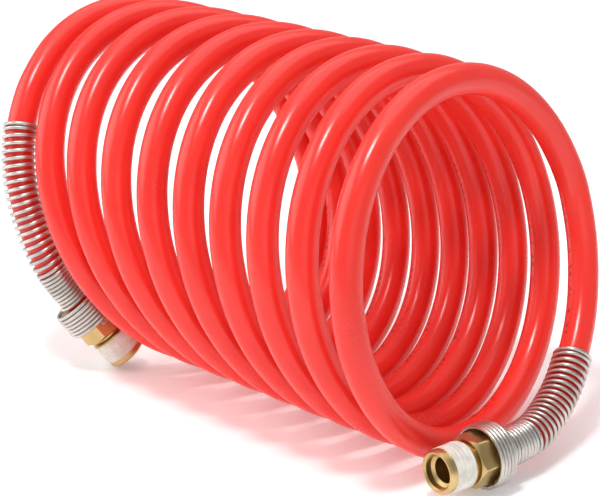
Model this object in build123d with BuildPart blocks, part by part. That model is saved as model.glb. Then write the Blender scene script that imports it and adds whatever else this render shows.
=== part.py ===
"""Coiled nylon air hose with a swivel pipe fitting and a wire spring guard at each end.

The coil lies on its side. Z = 0 is the surface under it, X runs along the coil from the inlet
end to the outlet end, and the origin is under the middle of the whole hose. Millimetres.
"""

import os
from math import cos, pi, radians, sin, tan

from build123d import *

# Hose: 3/8 inch outside, 1/4 inch inside
tube_outer_r = 9.525 / 2
tube_inner_r = 6.35 / 2

# Coil: every turn is a circle seen along X, and the turns lean back towards the inlet
coil_mean_r = 54.0
coil_axis_z = coil_mean_r + tube_outer_r
coil_axis_y = 1.0
coil_inlet_x = -63.6
coil_outlet_x = 62.5
inlet_lean_z = -25.0 / coil_mean_r
inlet_lean_y = 6.4 / coil_mean_r
outlet_lean_z = -11.0 / coil_mean_r
outlet_lean_y = -4.6 / coil_mean_r

# Pipe nipple, measured back from its mouth: 1/4-18 NPT thread, relief groove, 9/16 inch hexagon
thread_major_r = 13.716 / 2
thread_taper = 1 / 32
thread_length = 9.8
thread_chamfer = 0.6
thread_runout = 0.5
groove_r = 5.4
groove_end = 11.2
hex_flat_r = 14.29 / 2
hex_corner_r = 8.1
hex_face_r = hex_flat_r - 0.2
hex_end = 19.4
mouth_bore_r = 5.0
mouth_bore_chamfer = 0.5
mouth_bore_end = 2.4
nipple_bore_start = 3.0
nipple_bore_r = 3.9
nipple_bore_end = 12.4
socket_r = 5.0

# White sealant on the thread
sealant_start = 2.6
sealant_end = 9.3
sealant_thickness = 0.12

# Swivel stem, turning in the nipple's socket, with its barbs inside the hose
swivel_gap = 0.05
stem_start = 12.7
stem_bore_r = 2.4
stem_barb_r = 3.15
stem_barb_root_r = 2.95
stem_barb_pitch = 1.8
stem_barb_gap = 0.3
stem_plain_length = 0.6
barb_count = 3
o_ring_section_r = 0.63
o_ring_groove_r = 3.7
o_ring_side_gap = 0.12
o_ring_seat_gap = 0.01
o_ring_position = 14.6
ring_groove_r = 4.2
ring_start = 16.95
ring_thickness = 0.7
ring_inner_r = 4.25
ring_outer_r = 5.55
ring_arc = 335
washer_thickness = 0.4
washer_outer_r = 7.0

# Spring guard: a wide mouth over the hexagon, then a close winding around the hose
guard_wire = 1.25
guard_start = 15.8
guard_mouth_inner_r = 8.6
guard_hose_inner_r = tube_outer_r + 0.08
guard_mouth_outer_r = guard_mouth_inner_r + guard_wire
guard_hose_outer_r = guard_hose_inner_r + guard_wire
guard_step_gap = 0.01
collar_seat_r = 8.55
edge_chamfer = 0.3

# Where each fitting's mouth is, which way it points, and how far back its guard's mouth reaches
outlet_mouth = Vector(85.2, -35.9, 9.85)
outlet_direction = Vector(-0.1, -0.995, 0).normalized()
outlet_collar_end = 22.1
inlet_mouth = Vector(-56.6, -31.0, 4.5)
inlet_direction = Vector(0.414, 0.485, -0.77).normalized()
inlet_collar_end = 24.8

# Share of the shorter run beside a corner that the corner's arc takes up
arc_share = 0.45

# Points that each hose end passes, after the straight piece behind its fitting
outlet_straight = 13.2
outlet_route = [
    (86.2, 11.9, 12.2),
    (82.3, 26.4, 19.0),
    (75.3, 42.4, 33.9),
    (68.2, 51.1, 50.7),
    (63.5, 53.4, 63.7),
    (60.0, 52.0, 75.8),
]
outlet_guard_last_run = 3
inlet_straight = 10.2
inlet_route = [
    (-74.2, -51.7, 40.6),
    (-77.0, -53.2, 48.6),
    (-81.4, -54.4, 62.3),
    (-85.6, -51.2, 76.8),
    (-88.3, -46.4, 86.0),
    (-90.6, -40.4, 94.3),
]
inlet_guard_last_run = 5


def fitting_planes(mouth, direction):
    """Give the plane that fitting profiles are drawn on, and the plane of the mouth itself."""
    across = Vector(0, 0, 1).cross(direction).normalized()
    profile = Plane(origin=mouth, x_dir=across, z_dir=across.cross(direction))
    return profile, Plane(origin=mouth, x_dir=across, z_dir=direction)


def turned(profile, mouth, direction, outline):
    """Turn an outline of (radius, distance back from the mouth) points about the fitting's axis."""
    with BuildPart() as piece:
        with BuildSketch(profile):
            with BuildLine():
                Polyline([(r, -back) for r, back in outline], close=True)
            make_face()
        revolve(axis=Axis(mouth, direction))
    return piece


def thread_r(back):
    """Give the taper thread's outer radius at a distance back from the mouth."""
    return thread_major_r - (thread_length - back) * thread_taper


def make_nipple(mouth, direction):
    """Make the nipple: tapered thread, relief groove, and a hexagon with the swivel's socket."""
    profile, face = fitting_planes(mouth, direction)
    chamfer_run = hex_corner_r - hex_flat_r
    with BuildPart() as nipple:
        with BuildSketch(face.offset(-groove_end)):
            RegularPolygon(radius=hex_flat_r, side_count=6, major_radius=False)
        extrude(amount=-(hex_end - groove_end))
        with BuildSketch(profile):
            with BuildLine():
                Polyline(
                    (0, -groove_end),
                    (hex_face_r, -groove_end),
                    (hex_corner_r, -groove_end - chamfer_run),
                    (hex_corner_r, -hex_end + chamfer_run),
                    (hex_face_r, -hex_end),
                    (0, -hex_end),
                    close=True,
                )
            make_face()
        revolve(axis=Axis(mouth, direction), mode=Mode.INTERSECT)
        with BuildSketch(profile):
            with BuildLine():
                Polyline(
                    (0, 0),
                    (thread_r(0) - thread_chamfer, 0),
                    (thread_r(thread_chamfer), -thread_chamfer),
                    (thread_r(thread_length), -thread_length),
                    (groove_r, -thread_length - thread_runout),
                    (groove_r, -groove_end),
                    (0, -groove_end),
                    close=True,
                )
            make_face()
        revolve(axis=Axis(mouth, direction))
        with BuildSketch(profile):
            with BuildLine():
                Polyline(
                    (0, 0),
                    (mouth_bore_r + mouth_bore_chamfer, 0),
                    (mouth_bore_r, -mouth_bore_chamfer),
                    (mouth_bore_r, -mouth_bore_end),
                    (nipple_bore_r, -nipple_bore_start),
                    (nipple_bore_r, -nipple_bore_end),
                    (socket_r, -nipple_bore_end),
                    (socket_r, -ring_start + swivel_gap),
                    (ring_outer_r + swivel_gap, -ring_start + swivel_gap),
                    (ring_outer_r + swivel_gap, -ring_start - ring_thickness - swivel_gap),
                    (socket_r, -ring_start - ring_thickness - swivel_gap),
                    (socket_r, -hex_end),
                    (0, -hex_end),
                    close=True,
                )
            make_face()
        revolve(axis=Axis(mouth, direction), mode=Mode.SUBTRACT)
    return nipple


def make_sealant(mouth, direction):
    """Make the thin band of dried sealant that covers the thread."""
    profile, _ = fitting_planes(mouth, direction)
    outline = [
        (thread_r(sealant_start), sealant_start),
        (thread_r(sealant_start) + sealant_thickness, sealant_start),
        (thread_r(sealant_end) + sealant_thickness, sealant_end),
        (thread_r(sealant_end), sealant_end),
    ]
    return turned(profile, mouth, direction, outline)


def make_stem(mouth, direction, collar_end):
    """Make the swivel stem: head in the socket, grooves for O-ring and ring, barbs in the hose."""
    profile, _ = fitting_planes(mouth, direction)
    head_r = socket_r - swivel_gap
    ring_back = ring_start + ring_thickness
    groove_half = o_ring_section_r + o_ring_side_gap
    outline = [
        (stem_bore_r, stem_start),
        (head_r - edge_chamfer, stem_start),
        (head_r, stem_start + edge_chamfer),
        (head_r, o_ring_position - groove_half),
        (o_ring_groove_r, o_ring_position - groove_half),
        (o_ring_groove_r, o_ring_position + groove_half),
        (head_r, o_ring_position + groove_half),
        (head_r, ring_start - swivel_gap),
        (ring_groove_r, ring_start - swivel_gap),
        (ring_groove_r, ring_back + swivel_gap),
        (head_r, ring_back + swivel_gap),
        (head_r, collar_end),
        (stem_barb_root_r, collar_end),
    ]
    barbs_start = collar_end + stem_plain_length
    for barb in range(barb_count):
        back = barbs_start + barb * stem_barb_pitch
        outline += [
            (stem_barb_root_r, back),
            (stem_barb_r, back),
            (stem_barb_root_r, back + stem_barb_pitch - stem_barb_gap),
        ]
    stem_end = barbs_start + barb_count * stem_barb_pitch
    outline += [(stem_barb_root_r, stem_end), (stem_bore_r, stem_end)]
    return turned(profile, mouth, direction, outline)


def make_o_ring(mouth, direction):
    """Make the O-ring that seals the stem in the socket."""
    profile, _ = fitting_planes(mouth, direction)
    with BuildPart() as ring:
        with BuildSketch(profile):
            middle_r = o_ring_groove_r + o_ring_seat_gap + o_ring_section_r
            with Locations((middle_r, -o_ring_position)):
                Circle(o_ring_section_r)
        revolve(axis=Axis(mouth, direction))
    return ring


def make_retaining_ring(mouth, direction):
    """Make the split ring that locks the stem into the nipple."""
    profile, _ = fitting_planes(mouth, direction)
    ring_back = ring_start + ring_thickness
    with BuildPart() as ring:
        with BuildSketch(profile):
            with BuildLine():
                Polyline(
                    (ring_inner_r, -ring_start),
                    (ring_outer_r, -ring_start),
                    (ring_outer_r, -ring_back),
                    (ring_inner_r, -ring_back),
                    close=True,
                )
            make_face()
        revolve(axis=Axis(mouth, direction), revolution_arc=ring_arc)
    return ring


def make_washer(mouth, direction):
    """Make the thrust washer between the hexagon and the guard's collar."""
    profile, _ = fitting_planes(mouth, direction)
    front = hex_end + swivel_gap
    outline = [
        (socket_r, front),
        (washer_outer_r, front),
        (washer_outer_r, front + washer_thickness),
        (socket_r, front + washer_thickness),
    ]
    return turned(profile, mouth, direction, outline)


def make_collar(mouth, direction, collar_end):
    """Make the collar pressed on the stem, which the guard's wide turns grip."""
    profile, _ = fitting_planes(mouth, direction)
    front = hex_end + swivel_gap + washer_thickness
    outline = [
        (socket_r - swivel_gap, front),
        (collar_seat_r - edge_chamfer, front),
        (collar_seat_r, front + edge_chamfer),
        (collar_seat_r, collar_end - edge_chamfer),
        (collar_seat_r - edge_chamfer, collar_end),
        (socket_r - swivel_gap, collar_end),
    ]
    return turned(profile, mouth, direction, outline)


def route_points(mouth, direction, collar_end, straight, rest):
    """List the hose end's route, from its face against the collar to where the coil begins."""
    start = mouth - direction * collar_end
    return [start, start - direction * straight] + [Vector(*point) for point in rest]


def bend_radii(points):
    """Give each corner the largest arc that its two runs leave room for."""
    radii = []
    for before, corner, after in zip(points, points[1:], points[2:]):
        shorter = min((corner - before).length, (after - corner).length)
        half_turn = radians((corner - before).get_angle(after - corner)) / 2
        radii.append(arc_share * shorter / tan(half_turn))
    return radii


def make_hose_end(label, points):
    """Make the stretch of hose between the fitting and the coil, hollow, along its route."""
    radii = bend_radii(points)
    with BuildPart() as hose:
        with BuildLine() as route:
            FilletPolyline(*points, radius=radii)
        with BuildSketch(Plane(origin=points[0], z_dir=points[1] - points[0])):
            Circle(tube_outer_r)
            Circle(tube_inner_r, mode=Mode.SUBTRACT)
        sweep()
    length = sum(edge.length for edge in route.edges())
    section = pi * (tube_outer_r**2 - tube_inner_r**2)
    print(label, "length", round(length, 1), "radii", [round(r, 1) for r in radii])
    print(label, "volume over section times length", round(hose.part.volume / section / length, 5))
    return hose


def make_guard(mouth, direction, collar_end, points, last_run):
    """Make the guard's envelope: wide mouth, step, and sleeve along the hose to mid-run."""
    profile, _ = fitting_planes(mouth, direction)
    last = (points[last_run] + points[last_run + 1]) / 2
    guarded = points[: last_run + 1] + [last]
    radii = bend_radii(points)[: len(guarded) - 2]
    with BuildPart() as guard:
        with BuildLine():
            FilletPolyline(*guarded, radius=radii)
        with BuildSketch(Plane(origin=guarded[0], z_dir=guarded[1] - guarded[0])):
            Circle(guard_hose_outer_r)
            Circle(guard_hose_inner_r, mode=Mode.SUBTRACT)
        sweep()
        with BuildSketch(profile):
            with BuildLine():
                Polyline(
                    (guard_mouth_inner_r, -guard_start),
                    (guard_mouth_outer_r, -guard_start),
                    (guard_mouth_outer_r, -collar_end - guard_wire),
                    (guard_hose_inner_r, -collar_end - guard_wire),
                    (guard_hose_inner_r, -collar_end - guard_step_gap),
                    (guard_mouth_inner_r, -collar_end - guard_step_gap),
                    close=True,
                )
            make_face()
        revolve(axis=Axis(mouth, direction))
    return guard


def lean_plane(x, lean_y, lean_z, outwards):
    """Give the slanted plane that ends the coil, facing out of it."""
    normal = Vector(1, -lean_y, -lean_z).normalized() * outwards
    return Plane(origin=(x, coil_axis_y, coil_axis_z), z_dir=normal)


def make_coil():
    """Make the coil's outer shape: a sleeve as thick as the hose, with leaning ends."""
    blank_half = 160.0
    with BuildPart() as coil:
        with BuildSketch(Plane(origin=(-blank_half, coil_axis_y, coil_axis_z), z_dir=(1, 0, 0))):
            Circle(coil_mean_r + tube_outer_r)
            Circle(coil_mean_r - tube_outer_r, mode=Mode.SUBTRACT)
        extrude(amount=2 * blank_half)
        inlet_end = lean_plane(coil_inlet_x, inlet_lean_y, inlet_lean_z, -1)
        outlet_end = lean_plane(coil_outlet_x, outlet_lean_y, outlet_lean_z, 1)
        split(bisect_by=inlet_end, keep=Keep.BOTTOM)
        split(bisect_by=outlet_end, keep=Keep.BOTTOM)
    return coil


def save(piece, label):
    """Label a finished piece and write its file."""
    piece.part.label = label
    export_step(piece.part, f"parts/{label}.step")


def make_end(name, mouth, direction, collar_end, points, last_run):
    """Make and save every piece of one end of the hose."""
    save(make_nipple(mouth, direction), f"{name}_nipple")
    save(make_sealant(mouth, direction), f"{name}_thread_sealant")
    save(make_stem(mouth, direction, collar_end), f"{name}_swivel_stem")
    save(make_o_ring(mouth, direction), f"{name}_o_ring")
    save(make_retaining_ring(mouth, direction), f"{name}_retaining_ring")
    save(make_washer(mouth, direction), f"{name}_thrust_washer")
    save(make_collar(mouth, direction, collar_end), f"{name}_guard_collar")
    save(make_guard(mouth, direction, collar_end, points, last_run), f"{name}_spring_guard")
    save(make_hose_end(f"{name}_hose_end", points), f"{name}_hose_end")


os.makedirs("parts", exist_ok=True)
outlet_points = route_points(
    outlet_mouth, outlet_direction, outlet_collar_end, outlet_straight, outlet_route
)
inlet_points = route_points(
    inlet_mouth, inlet_direction, inlet_collar_end, inlet_straight, inlet_route
)
make_end(
    "outlet",
    outlet_mouth,
    outlet_direction,
    outlet_collar_end,
    outlet_points,
    outlet_guard_last_run,
)
make_end(
    "inlet",
    inlet_mouth,
    inlet_direction,
    inlet_collar_end,
    inlet_points,
    inlet_guard_last_run,
)
save(make_coil(), "hose_coil")
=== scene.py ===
"""Looks of a coiled nylon air hose with brass swivel fittings and wound spring guards."""

import logging
import math
from dataclasses import dataclass, field
from enum import Enum

import bmesh
import bpy
import numpy as np
from mathutils import Matrix, Vector


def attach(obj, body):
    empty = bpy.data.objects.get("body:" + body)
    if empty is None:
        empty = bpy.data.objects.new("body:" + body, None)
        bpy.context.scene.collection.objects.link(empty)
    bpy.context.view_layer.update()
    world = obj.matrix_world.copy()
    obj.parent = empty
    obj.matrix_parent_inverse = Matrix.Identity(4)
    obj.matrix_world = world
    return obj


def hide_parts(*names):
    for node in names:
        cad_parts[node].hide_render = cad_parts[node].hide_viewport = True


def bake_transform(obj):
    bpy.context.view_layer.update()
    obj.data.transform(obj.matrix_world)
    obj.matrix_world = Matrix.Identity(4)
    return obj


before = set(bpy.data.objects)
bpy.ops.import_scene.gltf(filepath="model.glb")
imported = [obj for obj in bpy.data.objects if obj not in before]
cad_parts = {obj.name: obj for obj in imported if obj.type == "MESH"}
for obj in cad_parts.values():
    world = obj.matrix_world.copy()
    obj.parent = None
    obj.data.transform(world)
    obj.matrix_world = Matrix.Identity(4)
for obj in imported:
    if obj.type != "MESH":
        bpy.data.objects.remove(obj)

LOG = logging.getLogger("air_hose")
MM = 0.001

Colour = tuple[float, float, float]
Point = tuple[float, float, float]


class HoseEnd(Enum):
    """The two ends of the hose, by the start of their pieces' names."""

    OUTLET = "outlet"
    INLET = "inlet"


class Body(Enum):
    """The rigid groups that pieces ride on."""

    HOSE = "hose"
    OUTLET_END = "outlet_end"
    OUTLET_NIPPLE = "outlet_nipple"
    INLET_NIPPLE = "inlet_nipple"


# ---------------------------------------------------------------------------------------------
# Shader building
# ---------------------------------------------------------------------------------------------


@dataclass
class NodeBench:
    """A node tree being wired up, with short calls for adding and joining nodes."""

    tree: bpy.types.NodeTree
    column: int = 0

    def add(self, kind: str, **settings: object) -> bpy.types.Node:
        """Add a node and set its own properties.

        Args:
            kind: The node's type name.
            **settings: Properties to set on the node.

        Returns:
            The new node.
        """
        node = self.tree.nodes.new(kind)
        for name, value in settings.items():
            setattr(node, name, value)
        node.location = (self.column * 180, 0)
        self.column += 1
        return node

    def feed(self, source: object, socket: bpy.types.NodeSocket) -> None:
        """Join a source socket to an input, or set the input where the source is a plain value.

        Args:
            source: An output socket, a number, or a colour or vector.
            socket: The input to fill.
        """
        if isinstance(source, bpy.types.NodeSocket):
            self.tree.links.new(source, socket)
        elif hasattr(source, "__len__") and len(source) == 3 and socket.type == "RGBA":
            socket.default_value = (*source, 1.0)
        else:
            socket.default_value = source

    def maths(self, operation: str, *values: object) -> bpy.types.NodeSocket:
        """Work out one Math node from sockets or numbers, and return its result."""
        node = self.add("ShaderNodeMath", operation=operation)
        for value, socket in zip(values, node.inputs):
            self.feed(value, socket)
        return node.outputs[0]

    def vector(self, operation: str, *values: object) -> bpy.types.NodeSocket:
        """Work out one Vector Math node from sockets or vectors, and return its vector."""
        node = self.add("ShaderNodeVectorMath", operation=operation)
        for value, socket in zip(values, node.inputs):
            self.feed(value, socket)
        return node.outputs[0]

    def noise(self, where: object, scale: object, detail: float = 3.0) -> bpy.types.NodeSocket:
        """Add a noise texture and return its grey value.

        Args:
            where: The coordinates to read.
            scale: How many cells to the metre.
            detail: How many octaves of finer noise.

        Returns:
            The noise value's socket.
        """
        node = self.add("ShaderNodeTexNoise", noise_dimensions="3D")
        self.feed(where, node.inputs["Vector"])
        self.feed(scale, node.inputs["Scale"])
        node.inputs["Detail"].default_value = detail
        return node.outputs[0]

    def span(self, value: object, low: float, high: float, to_low: object = 0.0,
             to_high: object = 1.0) -> bpy.types.NodeSocket:
        """Map a value from one range to another, held at both ends.

        Args:
            value: The socket to map.
            low: The value that gives to_low.
            high: The value that gives to_high.
            to_low: The result at low.
            to_high: The result at high.

        Returns:
            The mapped value's socket.
        """
        node = self.add("ShaderNodeMapRange", clamp=True)
        for source, socket in zip((value, low, high, to_low, to_high), node.inputs):
            self.feed(source, socket)
        return node.outputs[0]

    def mix(self, share: object, first: object, second: object) -> bpy.types.NodeSocket:
        """Mix two colours by a share, and return the colour."""
        node = self.add("ShaderNodeMix", data_type="RGBA")
        self.feed(share, node.inputs[0])
        self.feed(first, node.inputs[6])
        self.feed(second, node.inputs[7])
        return node.outputs[2]

    def group(self, tree: bpy.types.NodeTree, **values: object) -> bpy.types.Node:
        """Place a node group and fill its inputs, whose names have spaces for underscores."""
        node = self.add("ShaderNodeGroup")
        node.node_tree = tree
        for name, value in values.items():
            self.feed(value, node.inputs[name.replace("_", " ")])
        return node


@dataclass(frozen=True)
class GroupSocket:
    """One input or output of a node group."""

    name: str
    kind: str
    is_input: bool
    value: float | None = None


def new_group(name: str, kind: str, sockets: list[GroupSocket]) -> NodeBench:
    """Start a node group with named sockets.

    Args:
        name: The group's name.
        kind: The tree's type, for shaders or geometry.
        sockets: The inputs and outputs, in order.

    Returns:
        A bench on the new group's tree.
    """
    tree = bpy.data.node_groups.new(name, kind)
    for socket in sockets:
        made = tree.interface.new_socket(
            name=socket.name,
            in_out="INPUT" if socket.is_input else "OUTPUT",
            socket_type=socket.kind,
        )
        if socket.value is not None:
            made.default_value = socket.value
    return NodeBench(tree)


def handling_marks() -> bpy.types.NodeTree:
    """Build the group for uneven colour and gloss left by making and handling a surface.

    Returns:
        The group: a shade and a gloss that vary slowly, and a fine grain for bump.
    """
    number, colour = "NodeSocketFloat", "NodeSocketColor"
    bench = new_group("handling_marks", "ShaderNodeTree", [
        GroupSocket("Clean Colour", colour, True),
        GroupSocket("Worn Colour", colour, True),
        GroupSocket("Patch Scale", number, True, 60.0),
        GroupSocket("Grain Scale", number, True, 900.0),
        GroupSocket("Low Roughness", number, True, 0.2),
        GroupSocket("High Roughness", number, True, 0.4),
        GroupSocket("Colour", colour, False),
        GroupSocket("Roughness", number, False),
        GroupSocket("Grain", number, False),
    ])
    given = bench.add("NodeGroupInput").outputs
    place = bench.add("ShaderNodeTexCoord").outputs["Object"]
    patch = bench.noise(place, given["Patch Scale"], 4.0)
    grain = bench.noise(place, given["Grain Scale"], 2.0)
    share = bench.span(patch, 0.35, 0.72)
    shade = bench.mix(share, given["Clean Colour"], given["Worn Colour"])
    uneven = bench.maths("MULTIPLY_ADD", grain, 0.35, bench.maths("MULTIPLY", patch, 0.65))
    rough = bench.span(uneven, 0.3, 0.7, given["Low Roughness"], given["High Roughness"])
    out = bench.add("NodeGroupOutput").inputs
    bench.feed(shade, out["Colour"])
    bench.feed(rough, out["Roughness"])
    bench.feed(grain, out["Grain"])
    return bench.tree


def tool_marks() -> bpy.types.NodeTree:
    """Build the group for the fine turned lines of a machined or drawn metal surface.

    Returns:
        The group: a height of lines across the given direction.
    """
    bench = new_group("tool_marks", "ShaderNodeTree", [
        GroupSocket("Direction", "NodeSocketVector", True),
        GroupSocket("Lines per Metre", "NodeSocketFloat", True, 4000.0),
        GroupSocket("Height", "NodeSocketFloat", False),
    ])
    given = bench.add("NodeGroupInput").outputs
    place = bench.add("ShaderNodeTexCoord").outputs["Object"]
    along = bench.add("ShaderNodeVectorMath", operation="DOT_PRODUCT")
    bench.feed(place, along.inputs[0])
    bench.feed(given["Direction"], along.inputs[1])
    stretched = bench.add("ShaderNodeCombineXYZ")
    bench.feed(along.outputs["Value"], stretched.inputs[0])
    lines = bench.noise(stretched.outputs[0], given["Lines per Metre"], 2.0)
    bench.feed(lines, bench.add("NodeGroupOutput").inputs["Height"])
    return bench.tree


@dataclass
class EffectShelf:
    """The shader groups that several finishes share, each built once."""

    handling: bpy.types.NodeTree = field(default_factory=handling_marks)
    tooling: bpy.types.NodeTree = field(default_factory=tool_marks)


def new_material(name: str) -> tuple[bpy.types.Material, NodeBench, bpy.types.Node]:
    """Start a material with one Principled shader.

    Args:
        name: The material's name.

    Returns:
        The material, a bench on its tree, and the shader.
    """
    material = bpy.data.materials.new(name)
    material.use_nodes = True
    shader = material.node_tree.nodes["Principled BSDF"]
    return material, NodeBench(material.node_tree), shader


def add_bump(bench: NodeBench, shader: bpy.types.Node, height: object, strength: float,
             distance: float) -> None:
    """Feed a height through a Bump node to the shader's normal.

    Args:
        bench: The material's bench.
        shader: The Principled shader.
        height: The height's socket.
        strength: How strongly the bump shows.
        distance: The height in metres of a full step.
    """
    bump = bench.add("ShaderNodeBump")
    bump.inputs["Strength"].default_value = strength
    bump.inputs["Distance"].default_value = distance
    bench.feed(height, bump.inputs["Height"])
    bench.feed(bump.outputs[0], shader.inputs["Normal"])


@dataclass(frozen=True)
class NylonFinish:
    """Glossy red extruded tube with a faint line of generic printed dashes."""

    clean: Colour = (0.92, 0.045, 0.032)
    deep: Colour = (0.84, 0.030, 0.022)
    ink: Colour = (0.16, 0.02, 0.02)
    print_at: float = 0.56
    print_half_width: float = 0.021
    print_repeat: float = 0.118
    print_share: float = 0.62
    dash_length: float = 0.0026
    dash_share: float = 0.62
    dash_gap_chance: float = 0.28
    ink_strength: float = 0.7

    def print_mask(self, bench: NodeBench) -> bpy.types.NodeSocket:
        """Draw the printed dashes, as a mask.

        Args:
            bench: The material's bench.

        Returns:
            The mask's socket, 1 where there is ink.
        """
        parts = bench.add("ShaderNodeSeparateXYZ")
        bench.feed(bench.add("ShaderNodeUVMap", uv_map="hose_uv").outputs[0], parts.inputs[0])
        along, round_it = parts.outputs[0], parts.outputs[1]
        off_line = bench.maths("ABSOLUTE", bench.maths("SUBTRACT", round_it, self.print_at))
        on_line = bench.maths("LESS_THAN", off_line, self.print_half_width)
        cycle = bench.maths("FRACT", bench.maths("DIVIDE", along, self.print_repeat))
        in_group = bench.maths("LESS_THAN", cycle, self.print_share)
        dash = bench.maths("FRACT", bench.maths("DIVIDE", along, self.dash_length))
        in_dash = bench.maths("LESS_THAN", dash, self.dash_share)
        cell = bench.maths("FLOOR", bench.maths("DIVIDE", along, self.dash_length))
        seed = bench.add("ShaderNodeTexWhiteNoise", noise_dimensions="1D")
        bench.feed(cell, seed.inputs["W"])
        kept = bench.maths("GREATER_THAN", seed.outputs["Value"], self.dash_gap_chance)
        place = bench.add("ShaderNodeTexCoord").outputs["Object"]
        worn = bench.span(bench.noise(place, 700.0, 3.0), 0.38, 0.60)
        mask = bench.maths("MULTIPLY", on_line, in_group)
        mask = bench.maths("MULTIPLY", mask, in_dash)
        mask = bench.maths("MULTIPLY", mask, kept)
        return bench.maths("MULTIPLY", mask, worn)

    def material(self, shelf: EffectShelf) -> bpy.types.Material:
        """Build the nylon's material.

        Args:
            shelf: The shared shader groups.

        Returns:
            The material.
        """
        material, bench, shader = new_material("red_nylon_tube")
        marks = bench.group(
            shelf.handling, Clean_Colour=self.clean, Worn_Colour=self.deep, Patch_Scale=26.0,
            Grain_Scale=1500.0, Low_Roughness=0.20, High_Roughness=0.28,
        )
        mask = self.print_mask(bench)
        share = bench.maths("MULTIPLY", mask, self.ink_strength)
        inked = bench.mix(share, marks.outputs["Colour"], self.ink)
        bench.feed(inked, shader.inputs["Base Color"])
        bench.feed(marks.outputs["Roughness"], shader.inputs["Roughness"])
        shader.inputs["IOR"].default_value = 1.48
        shader.inputs["Subsurface Weight"].default_value = 0.22
        shader.inputs["Subsurface Radius"].default_value = (1.0, 0.12, 0.08)
        shader.inputs["Subsurface Scale"].default_value = 0.004
        add_bump(bench, shader, marks.outputs["Grain"], 0.01, 0.0001)
        return material


@dataclass(frozen=True)
class MetalFinish:
    """A metal with handling marks and fine tool lines."""

    name: str
    clean: Colour
    worn: Colour
    low_roughness: float
    high_roughness: float
    patch_scale: float = 120.0
    line_strength: float = 0.12
    lines_per_metre: float = 5000.0
    line_direction: Point = (1.0, 0.0, 0.0)

    def material(self, shelf: EffectShelf) -> bpy.types.Material:
        """Build the metal's material.

        Args:
            shelf: The shared shader groups.

        Returns:
            The material.
        """
        material, bench, shader = new_material(self.name)
        marks = bench.group(
            shelf.handling, Clean_Colour=self.clean, Worn_Colour=self.worn,
            Patch_Scale=self.patch_scale, Grain_Scale=2600.0,
            Low_Roughness=self.low_roughness, High_Roughness=self.high_roughness,
        )
        lines = bench.group(
            shelf.tooling, Direction=self.line_direction, Lines_per_Metre=self.lines_per_metre
        )
        bench.feed(marks.outputs["Colour"], shader.inputs["Base Color"])
        bench.feed(marks.outputs["Roughness"], shader.inputs["Roughness"])
        shader.inputs["Metallic"].default_value = 1.0
        height = bench.maths("ADD", lines.outputs["Height"],
                             bench.maths("MULTIPLY", marks.outputs["Grain"], 0.4))
        add_bump(bench, shader, height, self.line_strength, 0.00006)
        return material


@dataclass(frozen=True)
class MattFinish:
    """A dull moulded or dried surface with a visible grain."""

    name: str
    clean: Colour
    worn: Colour
    low_roughness: float
    high_roughness: float
    grain_scale: float
    bump_strength: float
    bump_height: float

    def material(self, shelf: EffectShelf) -> bpy.types.Material:
        """Build the matt surface's material.

        Args:
            shelf: The shared shader groups.

        Returns:
            The material.
        """
        material, bench, shader = new_material(self.name)
        marks = bench.group(
            shelf.handling, Clean_Colour=self.clean, Worn_Colour=self.worn, Patch_Scale=420.0,
            Grain_Scale=self.grain_scale, Low_Roughness=self.low_roughness,
            High_Roughness=self.high_roughness,
        )
        bench.feed(marks.outputs["Colour"], shader.inputs["Base Color"])
        bench.feed(marks.outputs["Roughness"], shader.inputs["Roughness"])
        add_bump(bench, shader, marks.outputs["Grain"], self.bump_strength, self.bump_height)
        return material


# ---------------------------------------------------------------------------------------------
# Mesh building
# ---------------------------------------------------------------------------------------------


def mesh_object(name: str, points: np.ndarray, faces: list[tuple[int, ...]]) -> bpy.types.Object:
    """Make a smooth-shaded mesh object, with its faces turned outwards.

    Args:
        name: The piece's name.
        points: Its vertices, in metres.
        faces: Its faces, as rows of vertex numbers.

    Returns:
        The new object, linked to the scene.
    """
    mesh = bpy.data.meshes.new(name)
    mesh.from_pydata([tuple(p) for p in points], [], faces)
    solid = bmesh.new()
    solid.from_mesh(mesh)
    bmesh.ops.recalc_face_normals(solid, faces=solid.faces)
    solid.to_mesh(mesh)
    solid.free()
    mesh.polygons.foreach_set("use_smooth", [True] * len(mesh.polygons))
    piece = bpy.data.objects.new(name, mesh)
    bpy.context.scene.collection.objects.link(piece)
    return piece


def curve_line(curve: bpy.types.Curve) -> np.ndarray:
    """Read the points that a bevel-less curve draws.

    Args:
        curve: The curve's data.

    Returns:
        The points in order, in metres.
    """
    holder = bpy.data.objects.new("line_reader", curve)
    bpy.context.scene.collection.objects.link(holder)
    bpy.context.view_layer.update()
    evaluated = holder.evaluated_get(bpy.context.evaluated_depsgraph_get())
    mesh = bpy.data.meshes.new_from_object(evaluated)
    points = np.array([v.co for v in mesh.vertices], float)
    bpy.data.meshes.remove(mesh)
    bpy.data.objects.remove(holder)
    return points


def distances(line: np.ndarray) -> np.ndarray:
    """Give each point's distance along a line of points."""
    steps = np.linalg.norm(np.diff(line, axis=0), axis=1)
    return np.concatenate([[0.0], np.cumsum(steps)])


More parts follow.
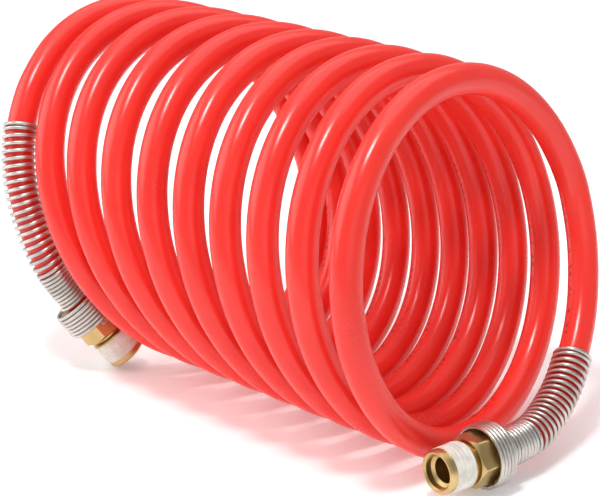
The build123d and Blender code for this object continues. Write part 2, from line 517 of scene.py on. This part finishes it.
@dataclass
class HoseRoute:
    """The hose's line: each end's points, and the leaning turns between them, in metres."""

    outlet_mouth: Point = (0.0852, -0.0359, 0.00985)
    outlet_direction: Point = (-0.1, -0.995, 0.0)
    outlet_collar_end: float = 0.0221
    outlet_straight: float = 0.0132
    outlet_route: list[Point] = field(default_factory=lambda: [
        (0.0862, 0.0119, 0.0122),
        (0.0823, 0.0264, 0.0190),
        (0.0753, 0.0424, 0.0339),
        (0.0682, 0.0511, 0.0507),
        (0.0635, 0.0534, 0.0637),
        (0.0600, 0.0525, 0.0758),
    ])
    inlet_mouth: Point = (-0.0566, -0.0310, 0.0045)
    inlet_direction: Point = (0.414, 0.485, -0.77)
    inlet_collar_end: float = 0.0248
    inlet_straight: float = 0.0102
    inlet_route: list[Point] = field(default_factory=lambda: [
        (-0.0742, -0.0517, 0.0406),
        (-0.0770, -0.0532, 0.0486),
        (-0.0814, -0.0544, 0.0623),
        (-0.0856, -0.0512, 0.0768),
        (-0.0883, -0.0464, 0.0860),
        (-0.0906, -0.0404, 0.0943),
    ])
    turn_radius: float = 0.0537
    axis_y: float = 0.0010
    axis_z: float = 0.0584625
    first_turn_x: float = 0.0647
    pitches: tuple[float, ...] = (
        0.0172, 0.0150, 0.0143, 0.0142, 0.0146, 0.0152, 0.0155, 0.0154, 0.0143, 0.0104,
    )
    lean_up: float = -0.0179
    lean_up_growth: float = -0.0077
    lean_side: float = -0.0006
    lean_side_growth: float = -0.0058
    points_per_turn: int = 18
    first_turn: float = -0.145
    last_turn: float = 9.085
    pitch_samples: int = 60
    line_resolution: int = 8

    def pitch_at(self, turn: float) -> float:
        """Give the pitch at a number of turns from the outlet end."""
        return float(np.interp(turn, range(len(self.pitches)), self.pitches))

    def axis_x(self, turn: float) -> float:
        """Give how far along X the coil's axis is at a number of turns."""
        steps = (np.arange(self.pitch_samples) + 0.5) * turn / self.pitch_samples
        return self.first_turn_x - turn * float(np.mean([self.pitch_at(s) for s in steps]))

    def turn_point(self, turn: float) -> Point:
        """Place one point of the leaning coil.

        Args:
            turn: How many turns from the outlet end.

        Returns:
            The control point, pushed out so that the smooth line keeps the coil's radius.
        """
        angle = 2.0 * math.pi * turn
        half = (len(self.pitches) - 1) / 2.0
        share = (turn - half) / half
        push = 1.0 / (0.75 + 0.25 * math.cos(2.0 * math.pi / self.points_per_turn))
        up = (self.lean_up + self.lean_up_growth * share) * math.cos(angle)
        side = (self.lean_side + self.lean_side_growth * share) * math.sin(angle)
        return (
            self.axis_x(turn) + (up + side) * push,
            self.axis_y - self.turn_radius * push * math.sin(angle),
            self.axis_z + self.turn_radius * push * math.cos(angle),
        )

    def end_points(self, end: HoseEnd) -> list[Point]:
        """List one end's route points, from the fitting's collar to the coil."""
        outlet = end is HoseEnd.OUTLET
        mouth = Vector(self.outlet_mouth if outlet else self.inlet_mouth)
        way = Vector(self.outlet_direction if outlet else self.inlet_direction).normalized()
        collar_end = self.outlet_collar_end if outlet else self.inlet_collar_end
        straight = self.outlet_straight if outlet else self.inlet_straight
        start = mouth - way * collar_end
        rest = self.outlet_route if outlet else self.inlet_route
        return [tuple(start), tuple(start - way * straight), *rest]

    def coil_points(self) -> list[Point]:
        """List the coil's control points, from the inlet end to the outlet end."""
        count = round((self.last_turn - self.first_turn) * self.points_per_turn)
        return [self.turn_point(t) for t in np.linspace(self.last_turn, self.first_turn, count)]

    def centreline(self) -> np.ndarray:
        """Draw the hose's smooth line, from the inlet fitting to the outlet fitting.

        Returns:
            Close-set points along the line, in metres.
        """
        points = [
            *self.end_points(HoseEnd.INLET),
            *self.coil_points(),
            *reversed(self.end_points(HoseEnd.OUTLET)),
        ]
        curve = bpy.data.curves.new("hose_line", "CURVE")
        curve.dimensions = "3D"
        curve.resolution_u = self.line_resolution
        spline = curve.splines.new("NURBS")
        spline.points.add(len(points) - 1)
        for place, point in zip(spline.points, points):
            place.co = (*point, 1.0)
        spline.order_u = 3
        spline.use_endpoint_u = True
        line = curve_line(curve)
        bpy.data.curves.remove(curve)
        return line


@dataclass
class HoseTube:
    """The nylon hose, one tube from fitting to fitting."""

    route: HoseRoute
    line: np.ndarray
    outer_radius: float = 9.525 * MM / 2
    sides: int = 28
    ease: float = 0.09

    def frames(self) -> tuple[np.ndarray, np.ndarray, np.ndarray]:
        """Set up each ring: its tangent, its way towards the coil's axis, and the way across."""
        tangent = np.gradient(self.line, axis=0)
        tangent /= np.linalg.norm(tangent, axis=1)[:, None]
        inward = np.array([0.0, self.route.axis_y, self.route.axis_z]) - self.line
        inward[:, 0] = 0.0
        inward -= np.sum(inward * tangent, axis=1)[:, None] * tangent
        inward /= np.linalg.norm(inward, axis=1)[:, None]
        return tangent, inward, np.cross(tangent, inward)

    def build(self) -> bpy.types.Object:
        """Make the tube's mesh with its own UV map: metres along it, and turns around it.

        Returns:
            The hose.
        """
        _, inward, across = self.frames()
        angles = np.arange(self.sides) * 2.0 * math.pi / self.sides
        rim = (inward[:, None, :] * np.cos(angles)[None, :, None]
               + across[:, None, :] * np.sin(angles)[None, :, None])
        points = (self.line[:, None, :] + rim * self.outer_radius).reshape(-1, 3)
        count = len(self.line)
        faces = [
            (i * self.sides + j, i * self.sides + (j + 1) % self.sides,
             (i + 1) * self.sides + (j + 1) % self.sides, (i + 1) * self.sides + j)
            for i in range(count - 1) for j in range(self.sides)
        ]
        faces.append(tuple(range(self.sides)))
        faces.append(tuple(range((count - 1) * self.sides, count * self.sides)))
        hose = mesh_object("air_hose", points, faces)
        self.map_surface(hose.data)
        return hose

    def map_surface(self, mesh: bpy.types.Mesh) -> None:
        """Write the UV map, with its seam along the outside of the coil."""
        along = distances(self.line)
        layer = mesh.uv_layers.new(name="hose_uv")
        for face in mesh.polygons:
            corners = [mesh.loops[i].vertex_index for i in face.loop_indices]
            turns = [((c % self.sides) / self.sides + 0.5) % 1.0 for c in corners]
            wraps = max(turns) - min(turns) > 0.5
            for i, corner, turn in zip(face.loop_indices, corners, turns):
                placed = turn + 1.0 if wraps and turn < 0.5 else turn
                layer.data[i].uv = (float(along[corner // self.sides]), placed)

    def join_bodies(self, hose: bpy.types.Object) -> None:
        """Bake the hose's placement into its mesh."""
        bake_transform(hose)


# ---------------------------------------------------------------------------------------------
# Spring guards
# ---------------------------------------------------------------------------------------------


def wound_wire_tree() -> bpy.types.NodeTree:
    """Build the Geometry Nodes tree that winds a wire round a guide line.

    The guide's points carry "turn", the turns wound so far, and "wound_radius".

    Returns:
        The tree.
    """
    number, whole, geometry = "NodeSocketFloat", "NodeSocketInt", "NodeSocketGeometry"
    bench = new_group("wound_wire", "GeometryNodeTree", [
        GroupSocket("Guide", geometry, True),
        GroupSocket("Wire Radius", number, True, 0.0005),
        GroupSocket("Samples", whole, True, 1000),
        GroupSocket("Wire Sides", whole, True, 10),
        GroupSocket("Finish", "NodeSocketMaterial", True),
        GroupSocket("Spring", geometry, False),
    ])
    given = bench.add("NodeGroupInput").outputs
    guide = bench.add("GeometryNodeMeshToCurve")
    bench.feed(given["Guide"], guide.inputs["Mesh"])
    fine = bench.add("GeometryNodeResampleCurve", mode="COUNT")
    bench.feed(guide.outputs[0], fine.inputs["Curve"])
    bench.feed(given["Samples"], fine.inputs["Count"])
    turn = bench.add("GeometryNodeInputNamedAttribute", data_type="FLOAT")
    turn.inputs["Name"].default_value = "turn"
    radius = bench.add("GeometryNodeInputNamedAttribute", data_type="FLOAT")
    radius.inputs["Name"].default_value = "wound_radius"
    angle = bench.maths("MULTIPLY", turn.outputs[0], 2.0 * math.pi)
    normal = bench.add("GeometryNodeInputNormal").outputs[0]
    tangent = bench.add("GeometryNodeInputTangent").outputs[0]
    across = bench.vector("CROSS_PRODUCT", tangent, normal)
    out = bench.maths("MULTIPLY", radius.outputs[0], bench.maths("COSINE", angle))
    over = bench.maths("MULTIPLY", radius.outputs[0], bench.maths("SINE", angle))
    first = bench.add("ShaderNodeVectorMath", operation="SCALE")
    bench.feed(normal, first.inputs[0])
    bench.feed(out, first.inputs["Scale"])
    second = bench.add("ShaderNodeVectorMath", operation="SCALE")
    bench.feed(across, second.inputs[0])
    bench.feed(over, second.inputs["Scale"])
    wound = bench.add("GeometryNodeSetPosition")
    bench.feed(fine.outputs[0], wound.inputs["Geometry"])
    offset = bench.vector("ADD", first.outputs[0], second.outputs[0])
    bench.feed(offset, wound.inputs["Offset"])
    section = bench.add("GeometryNodeCurvePrimitiveCircle", mode="RADIUS")
    bench.feed(given["Wire Sides"], section.inputs["Resolution"])
    bench.feed(given["Wire Radius"], section.inputs["Radius"])
    wire = bench.add("GeometryNodeCurveToMesh")
    bench.feed(wound.outputs[0], wire.inputs["Curve"])
    bench.feed(section.outputs[0], wire.inputs["Profile Curve"])
    wire.inputs["Fill Caps"].default_value = True
    smooth = bench.add("GeometryNodeSetShadeSmooth")
    bench.feed(wire.outputs[0], smooth.inputs["Geometry"])
    dressed = bench.add("GeometryNodeSetMaterial")
    bench.feed(smooth.outputs[0], dressed.inputs["Geometry"])
    bench.feed(given["Finish"], dressed.inputs["Material"])
    real = bench.add("GeometryNodeRealizeInstances")
    bench.feed(dressed.outputs[0], real.inputs[0])
    bench.feed(real.outputs[0], bench.add("NodeGroupOutput").inputs["Spring"])
    return bench.tree


def set_tree_input(modifier: bpy.types.Modifier, name: str, value: object) -> None:
    """Set a Geometry Nodes modifier's input by its socket's identifier.

    Args:
        modifier: The modifier.
        name: The socket's name.
        value: What to give it.
    """
    for item in modifier.node_group.interface.items_tree:
        if item.item_type == "SOCKET" and item.in_out == "INPUT" and item.name == name:
            modifier[item.identifier] = value


@dataclass
class SpringGuard:
    """A wire guard: wide turns round the hexagon, close turns, open turns, and a closed end."""

    end: HoseEnd
    line: np.ndarray
    mouth_start: Vector
    mouth_length: float
    hose_length: float
    close_length: float = 0.0125
    end_turns: float = 1.4
    open_pitch: float = 2.35 * MM
    start_turn: float = 0.1
    wire: float = 1.25 * MM
    close_pitch: float = 1.29 * MM
    mouth_inner_radius: float = 8.6 * MM
    hose_inner_radius: float = 4.8425 * MM
    step_length: float = 1.9 * MM
    tip_lift: float = 0.5 * MM
    tip_turns: float = 0.12
    opening_half: float = 0.8 * MM
    closing_half: float = 0.4 * MM
    samples_per_turn: int = 30
    mouth_samples: int = 60
    hose_samples: int = 260
    wire_sides: int = 10

    def guide_line(self) -> np.ndarray:
        """Lay the guide: straight through the mouth, then along the hose."""
        reach = distances(self.line)
        hose_at = np.linspace(0.0, self.hose_length, self.hose_samples)
        on_hose = np.stack([np.interp(hose_at, reach, self.line[:, i]) for i in range(3)], axis=1)
        shares = np.linspace(0.0, 1.0, self.mouth_samples, endpoint=False)[:, None]
        start = np.array(self.mouth_start)
        return np.concatenate([start + (on_hose[0] - start) * shares, on_hose])

    def winding(self, along: np.ndarray) -> tuple[np.ndarray, np.ndarray]:
        """Work out the turns so far and the radius at each distance along the guide.

        Args:
            along: Distances from the mouth's rim.

        Returns:
            The turns so far, and the radius to the wire's middle.
        """
        whole = along[-1]
        open_from = self.mouth_length + self.step_length + self.close_length
        open_to = whole - self.end_turns * self.close_pitch
        knots = [0.0, open_from - self.opening_half, open_from + self.opening_half,
                 open_to - self.closing_half, open_to + self.closing_half, whole]
        pitches = [self.close_pitch, self.close_pitch, self.open_pitch, self.open_pitch,
                   self.close_pitch, self.close_pitch]
        pitch = np.interp(along, knots, pitches)
        steps = np.diff(along) * 2.0 / (pitch[1:] + pitch[:-1])
        turns = self.start_turn + np.concatenate([[0.0], np.cumsum(steps)])
        wide = self.mouth_inner_radius + self.wire / 2.0
        snug = self.hose_inner_radius + self.wire / 2.0
        share = np.clip((along - self.mouth_length) / self.step_length, 0.0, 1.0)
        radius = wide + (snug - wide) * share**2 * (3.0 - 2.0 * share)
        tip = np.clip(1.0 - (turns - self.start_turn) / self.tip_turns, 0.0, 1.0)
        return turns, radius + self.tip_lift * tip**2

    def build(self, tree: bpy.types.NodeTree, finish: bpy.types.Material) -> bpy.types.Object:
        """Wind the guard's wire.

        Args:
            tree: The winding tree.
            finish: The wire's material.

        Returns:
            The guard, as a plain mesh.
        """
        line = self.guide_line()
        turns, radius = self.winding(distances(line))
        mesh = bpy.data.meshes.new("guard_guide")
        mesh.from_pydata([tuple(p) for p in line], [(i, i + 1) for i in range(len(line) - 1)], [])
        for name, values in (("turn", turns), ("wound_radius", radius)):
            attribute = mesh.attributes.new(name, "FLOAT", "POINT")
            attribute.data.foreach_set("value", values.astype(np.float32))
        guide = bpy.data.objects.new("guard_guide", mesh)
        bpy.context.scene.collection.objects.link(guide)
        modifier = guide.modifiers.new("winding", "NODES")
        modifier.node_group = tree
        set_tree_input(modifier, "Wire Radius", self.wire / 2.0)
        set_tree_input(modifier, "Samples", int((turns[-1] - turns[0]) * self.samples_per_turn))
        set_tree_input(modifier, "Wire Sides", self.wire_sides)
        set_tree_input(modifier, "Finish", finish)
        bpy.context.view_layer.update()
        evaluated = guide.evaluated_get(bpy.context.evaluated_depsgraph_get())
        wound = bpy.data.meshes.new_from_object(evaluated)
        bpy.data.objects.remove(guide)
        wound.materials.clear()
        wound.materials.append(finish)
        spring = bpy.data.objects.new(f"{self.end.value}_guard_wire", wound)
        bpy.context.scene.collection.objects.link(spring)
        return spring


# ---------------------------------------------------------------------------------------------
# Threads
# ---------------------------------------------------------------------------------------------


@dataclass
class PipeThread:
    """The taper thread's ridges, and the dried white sealant that lies over them."""

    end: HoseEnd
    mouth: Vector
    way: Vector
    major_radius: float = 13.716 * MM / 2
    taper: float = 1.0 / 32.0
    length: float = 9.8 * MM
    pitch: float = 25.4 * MM / 18.0
    ridge_height: float = 0.30 * MM
    ridges_span: tuple[float, float] = (0.75 * MM, 9.9 * MM)
    ridges_lift: float = 0.05 * MM
    ridges_depth: float = 0.7 * MM
    band_span: tuple[float, float] = (2.3 * MM, 9.3 * MM)
    band_lift: float = 0.22 * MM
    band_ridge_height: float = 0.13 * MM
    band_lump: float = 0.03 * MM
    band_depth: float = 0.5 * MM
    edge_run: float = 0.25 * MM
    edge_drop: float = 0.12 * MM
    sides: int = 96
    ring_step: float = 0.09 * MM

    def cone_radius(self, back: float) -> float:
        """Give the thread's outer radius at a distance back from the mouth."""
        return self.major_radius - (self.length - back) * self.taper

    def sleeve(self, name: str, start: float, finish: float, lift: float, ridge: float,
               lump: float, depth: float) -> bpy.types.Object:
        """Make a thin closed sleeve with the thread's ridges on its outside.

        Args:
            name: The piece's name.
            start: How far back from the mouth it starts.
            finish: How far back it ends.
            lift: How far its crests stand above the cone.
            ridge: How far its crests stand above its troughs.
            lump: The height of its slow unevenness.
            depth: How far in its hidden inner wall is.

        Returns:
            The sleeve.
        """
        side = self.way.orthogonal().normalized()
        up = self.way.cross(side)
        across, over, ahead = np.array(side), np.array(up), np.array(self.way)
        rings = max(4, int((finish - start) / self.ring_step))
        angles = np.arange(self.sides) * 2.0 * math.pi / self.sides
        radial = across[None, :] * np.cos(angles)[:, None] + over[None, :] * np.sin(angles)[:, None]
        layers = []
        for back in np.linspace(start, finish, rings):
            phase = 2.0 * math.pi * back / self.pitch - angles
            crest = 0.5 + 0.5 * np.cos(phase)
            slow = np.sin(3.0 * angles + back * 900.0) * np.sin(5.0 * angles - back * 1700.0)
            edge = min(1.0, (back - start) / self.edge_run, (finish - back) / self.edge_run)
            height = lift - ridge * (1.0 - crest) + lump * slow
            radius = self.cone_radius(back) + height - (1.0 - edge) * self.edge_drop
            layers.append(np.array(self.mouth) - ahead * back + radial * radius[:, None])
        for back in (finish, start):
            radius = self.cone_radius(back) - depth
            layers.append(np.array(self.mouth) - ahead * back + radial * radius)
        count = len(layers)
        faces = [
            (i * self.sides + j, i * self.sides + (j + 1) % self.sides,
             ((i + 1) % count) * self.sides + (j + 1) % self.sides,
             ((i + 1) % count) * self.sides + j)
            for i in range(count) for j in range(self.sides)
        ]
        return mesh_object(name, np.concatenate(layers), faces)

    def build(self, brass: bpy.types.Material,
              sealant: bpy.types.Material) -> tuple[bpy.types.Object, bpy.types.Object]:
        """Make the brass ridges and the sealant.

        Args:
            brass: The nipple's material.
            sealant: The sealant's material.

        Returns:
            The ridges and the sealant.
        """
        name = self.end.value
        ridges = self.sleeve(f"{name}_thread_ridges", *self.ridges_span, self.ridges_lift,
                             self.ridge_height, 0.0, self.ridges_depth)
        ridges.data.materials.append(brass)
        band = self.sleeve(f"{name}_sealant_band", *self.band_span, self.band_lift,
                           self.band_ridge_height, self.band_lump, self.band_depth)
        band.data.materials.append(sealant)
        return ridges, band


# ---------------------------------------------------------------------------------------------
# Assemblies
# ---------------------------------------------------------------------------------------------


@dataclass
class FinishSet:
    """Every material of the hose, built once."""

    shelf: EffectShelf = field(default_factory=EffectShelf)

    def __post_init__(self) -> None:
        """Build the materials."""
        self.nylon = NylonFinish().material(self.shelf)
        self.wire = MetalFinish(
            "plated_guard_wire", (0.68, 0.65, 0.61), (0.50, 0.47, 0.44), 0.28, 0.42,
            line_strength=0.05,
        ).material(self.shelf)
        self.steel = MetalFinish(
            "plated_steel", (0.70, 0.69, 0.66), (0.52, 0.51, 0.49), 0.22, 0.42
        ).material(self.shelf)
        self.rubber = MattFinish(
            "nitrile_rubber", (0.02, 0.02, 0.02), (0.05, 0.048, 0.045), 0.5, 0.75, 3000.0, 0.2,
            0.0001,
        ).material(self.shelf)
        self.sealant = MattFinish(
            "dried_sealant", (0.84, 0.82, 0.76), (0.66, 0.62, 0.54), 0.45, 0.7, 2400.0, 0.5,
            0.00012,
        ).material(self.shelf)

    def brass(self, name: str, way: Vector) -> bpy.types.Material:
        """Build brass whose turned lines run round a fitting's axis."""
        return MetalFinish(
            name, (0.68, 0.51, 0.24), (0.50, 0.35, 0.14), 0.26, 0.44,
            line_strength=0.16, lines_per_metre=4200.0, line_direction=tuple(way),
        ).material(self.shelf)


@dataclass
class EndFitting:
    """One end: nipple, swivel stem, washer, collar, ring, O-ring, thread and spring guard."""

    end: HoseEnd
    hose_body: Body
    nipple_body: Body
    mouth: Point
    direction: Point
    mouth_start_back: float
    collar_end: float
    guard_hose_length: float
    start_turn: float

    def dress(self, node: str, material: bpy.types.Material) -> bpy.types.Object:
        """Give a frame piece its material.

        Args:
            node: The piece's name after the end's name.
            material: Its material.

        Returns:
            The piece.
        """
        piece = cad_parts[f"{self.end.value}_{node}"]
        piece.data.materials.clear()
        piece.data.materials.append(material)
        return piece

    def build(self, line: np.ndarray, finishes: FinishSet,
              tree: bpy.types.NodeTree) -> list[bpy.types.Object]:
        """Dress and make this end's pieces, and set what the thread ridges, sealant and guard ride
        on.

        Args:
            line: The hose's line, starting at this end.
            finishes: The materials.
            tree: The wire-winding tree.

        Returns:
            The end's visible pieces.
        """
        name = self.end.value
        way = Vector(self.direction).normalized()
        mouth = Vector(self.mouth)
        brass = finishes.brass(f"{name}_brass", way)
        pieces = [
            self.dress("nipple", brass),
            self.dress("swivel_stem", brass),
            self.dress("guard_collar", brass),
            self.dress("retaining_ring", finishes.steel),
            self.dress("thrust_washer", finishes.steel),
            self.dress("o_ring", finishes.rubber),
        ]
        ridges, band = PipeThread(self.end, mouth, way).build(brass, finishes.sealant)
        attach(ridges, self.nipple_body.value)
        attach(band, self.nipple_body.value)
        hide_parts(f"{name}_thread_sealant")
        guard = SpringGuard(
            self.end, line, mouth - way * self.mouth_start_back,
            self.collar_end - self.mouth_start_back, self.guard_hose_length,
            start_turn=self.start_turn,
        ).build(tree, finishes.wire)
        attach(guard, self.hose_body.value)
        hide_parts(f"{name}_spring_guard")
        LOG.info("%s end: %d pieces, guard wire of %d faces", name, len(pieces) + 3,
                 len(guard.data.polygons))
        return [*pieces, ridges, band, guard]


@dataclass
class Studio:
    """A pale floor, soft lights and the camera."""

    camera_place: Point = (0.40609, -0.40888, 0.23863)
    camera_aim: Point = (-0.0074, 0.0010, 0.04636)
    lens: float = 114.0
    sensor: float = 36.0
    roll_degrees: float = 0.3
    floor_half: float = 4.0
    low_air: float = 0.42
    high_air: float = 0.30

    def camera(self) -> bpy.types.Object:
        """Place the camera and make it the scene's own."""
        data = bpy.data.cameras.new("view")
        data.lens = self.lens
        data.sensor_width = self.sensor
        camera = bpy.data.objects.new("view", data)
        back = (Vector(self.camera_place) - Vector(self.camera_aim)).normalized()
        camera.rotation_mode = "QUATERNION"
        turn = (-back).to_track_quat("-Z", "Y")
        roll = Matrix.Rotation(math.radians(self.roll_degrees), 3, back).to_quaternion()
        camera.rotation_quaternion = roll @ turn
        camera.location = self.camera_place
        bpy.context.scene.collection.objects.link(camera)
        bpy.context.scene.camera = camera
        return camera

    def floor(self) -> bpy.types.Object:
        """Lay the pale floor."""
        half = self.floor_half
        mesh = bpy.data.meshes.new("studio_floor")
        mesh.from_pydata([(-half, -half, 0), (half, -half, 0), (half, half, 0), (-half, half, 0)],
                         [], [(0, 1, 2, 3)])
        floor = bpy.data.objects.new("studio_floor", mesh)
        material, _, shader = new_material("white_paper")
        shader.inputs["Base Color"].default_value = (0.93, 0.93, 0.93, 1.0)
        shader.inputs["Roughness"].default_value = 0.9
        shader.inputs["Emission Color"].default_value = (1.0, 1.0, 1.0, 1.0)
        shader.inputs["Emission Strength"].default_value = 0.22
        mesh.materials.append(material)
        bpy.context.scene.collection.objects.link(floor)
        return floor

    def light(self, name: str, place: Point, aim: Point, size: tuple[float, float],
              power: float) -> bpy.types.Object:
        """Hang one soft rectangular light.

        Args:
            name: The light's name.
            place: Where its middle is.
            aim: The point that it faces.
            size: Its width and height.
            power: Its power in watts.

        Returns:
            The light.
        """
        data = bpy.data.lights.new(name, "AREA")
        data.shape = "RECTANGLE"
        data.size, data.size_y = size
        data.energy = power
        lamp = bpy.data.objects.new(name, data)
        lamp.location = place
        facing = Vector(aim) - Vector(place)
        lamp.rotation_mode = "QUATERNION"
        lamp.rotation_quaternion = facing.to_track_quat("-Z", "Y")
        bpy.context.scene.collection.objects.link(lamp)
        return lamp

    def build(self) -> None:
        """Set up the camera, floor, lights and surroundings."""
        self.camera()
        self.floor()
        middle = (0.0, 0.0, 0.05)
        self.light("key_softbox", (0.15, -0.47, 1.37), middle, (0.22, 0.22), 9.0)
        self.light("left_softbox", (-1.0, -0.9, 0.8), middle, (1.4, 1.2), 11.0)
        self.light("top_softbox", (-0.2, 0.35, 1.4), middle, (1.6, 1.4), 8.5)
        self.light("fill_softbox", (1.1, -0.5, 0.5), middle, (0.9, 0.7), 1.2)
        world = bpy.data.worlds.new("studio_air")
        world.use_nodes = True
        bench = NodeBench(world.node_tree)
        air = world.node_tree.nodes["Background"]
        air.inputs["Color"].default_value = (1.0, 1.0, 1.0, 1.0)
        parts = bench.add("ShaderNodeSeparateXYZ")
        bench.feed(bench.add("ShaderNodeTexCoord").outputs["Generated"], parts.inputs[0])
        shade = bench.span(parts.outputs[2], 0.1, 0.8, self.low_air, self.high_air)
        bench.feed(shade, air.inputs["Strength"])
        bpy.context.scene.world = world
        bpy.context.scene.view_settings.view_transform = "Standard"


@dataclass
class AirHose:
    """The whole hose: its tube and both ends."""

    route: HoseRoute = field(default_factory=HoseRoute)
    guard_rim_back: float = 16.3 * MM
    hose_diameter: float = 9.525 * MM

    def ends(self) -> list[EndFitting]:
        """Describe both ends."""
        route = self.route
        return [
            EndFitting(HoseEnd.OUTLET, Body.OUTLET_END, Body.OUTLET_NIPPLE, route.outlet_mouth,
                       route.outlet_direction, self.guard_rim_back, route.outlet_collar_end,
                       0.0520, 0.30),
            EndFitting(HoseEnd.INLET, Body.HOSE, Body.INLET_NIPPLE, route.inlet_mouth,
                       route.inlet_direction, self.guard_rim_back, route.inlet_collar_end,
                       0.0635, 0.55),
        ]

    def build(self) -> None:
        finishes = FinishSet()
        line = self.route.centreline()
        tube = HoseTube(self.route, line)
        hose = tube.build()
        hose.data.materials.append(finishes.nylon)
        tube.join_bodies(hose)
        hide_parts("hose_coil", "outlet_hose_end", "inlet_hose_end")
        tree = wound_wire_tree()
        for end in self.ends():
            own = line[::-1] if end.end is HoseEnd.OUTLET else line
            end.build(own, finishes, tree)


def main() -> None:
    """Build the studio and the hose."""
    logging.basicConfig(level=logging.INFO)
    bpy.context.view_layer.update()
    Studio().build()
    LOG.info("studio: camera, floor and lights")
    AirHose().build()


if __name__ == "__main__":
    main()
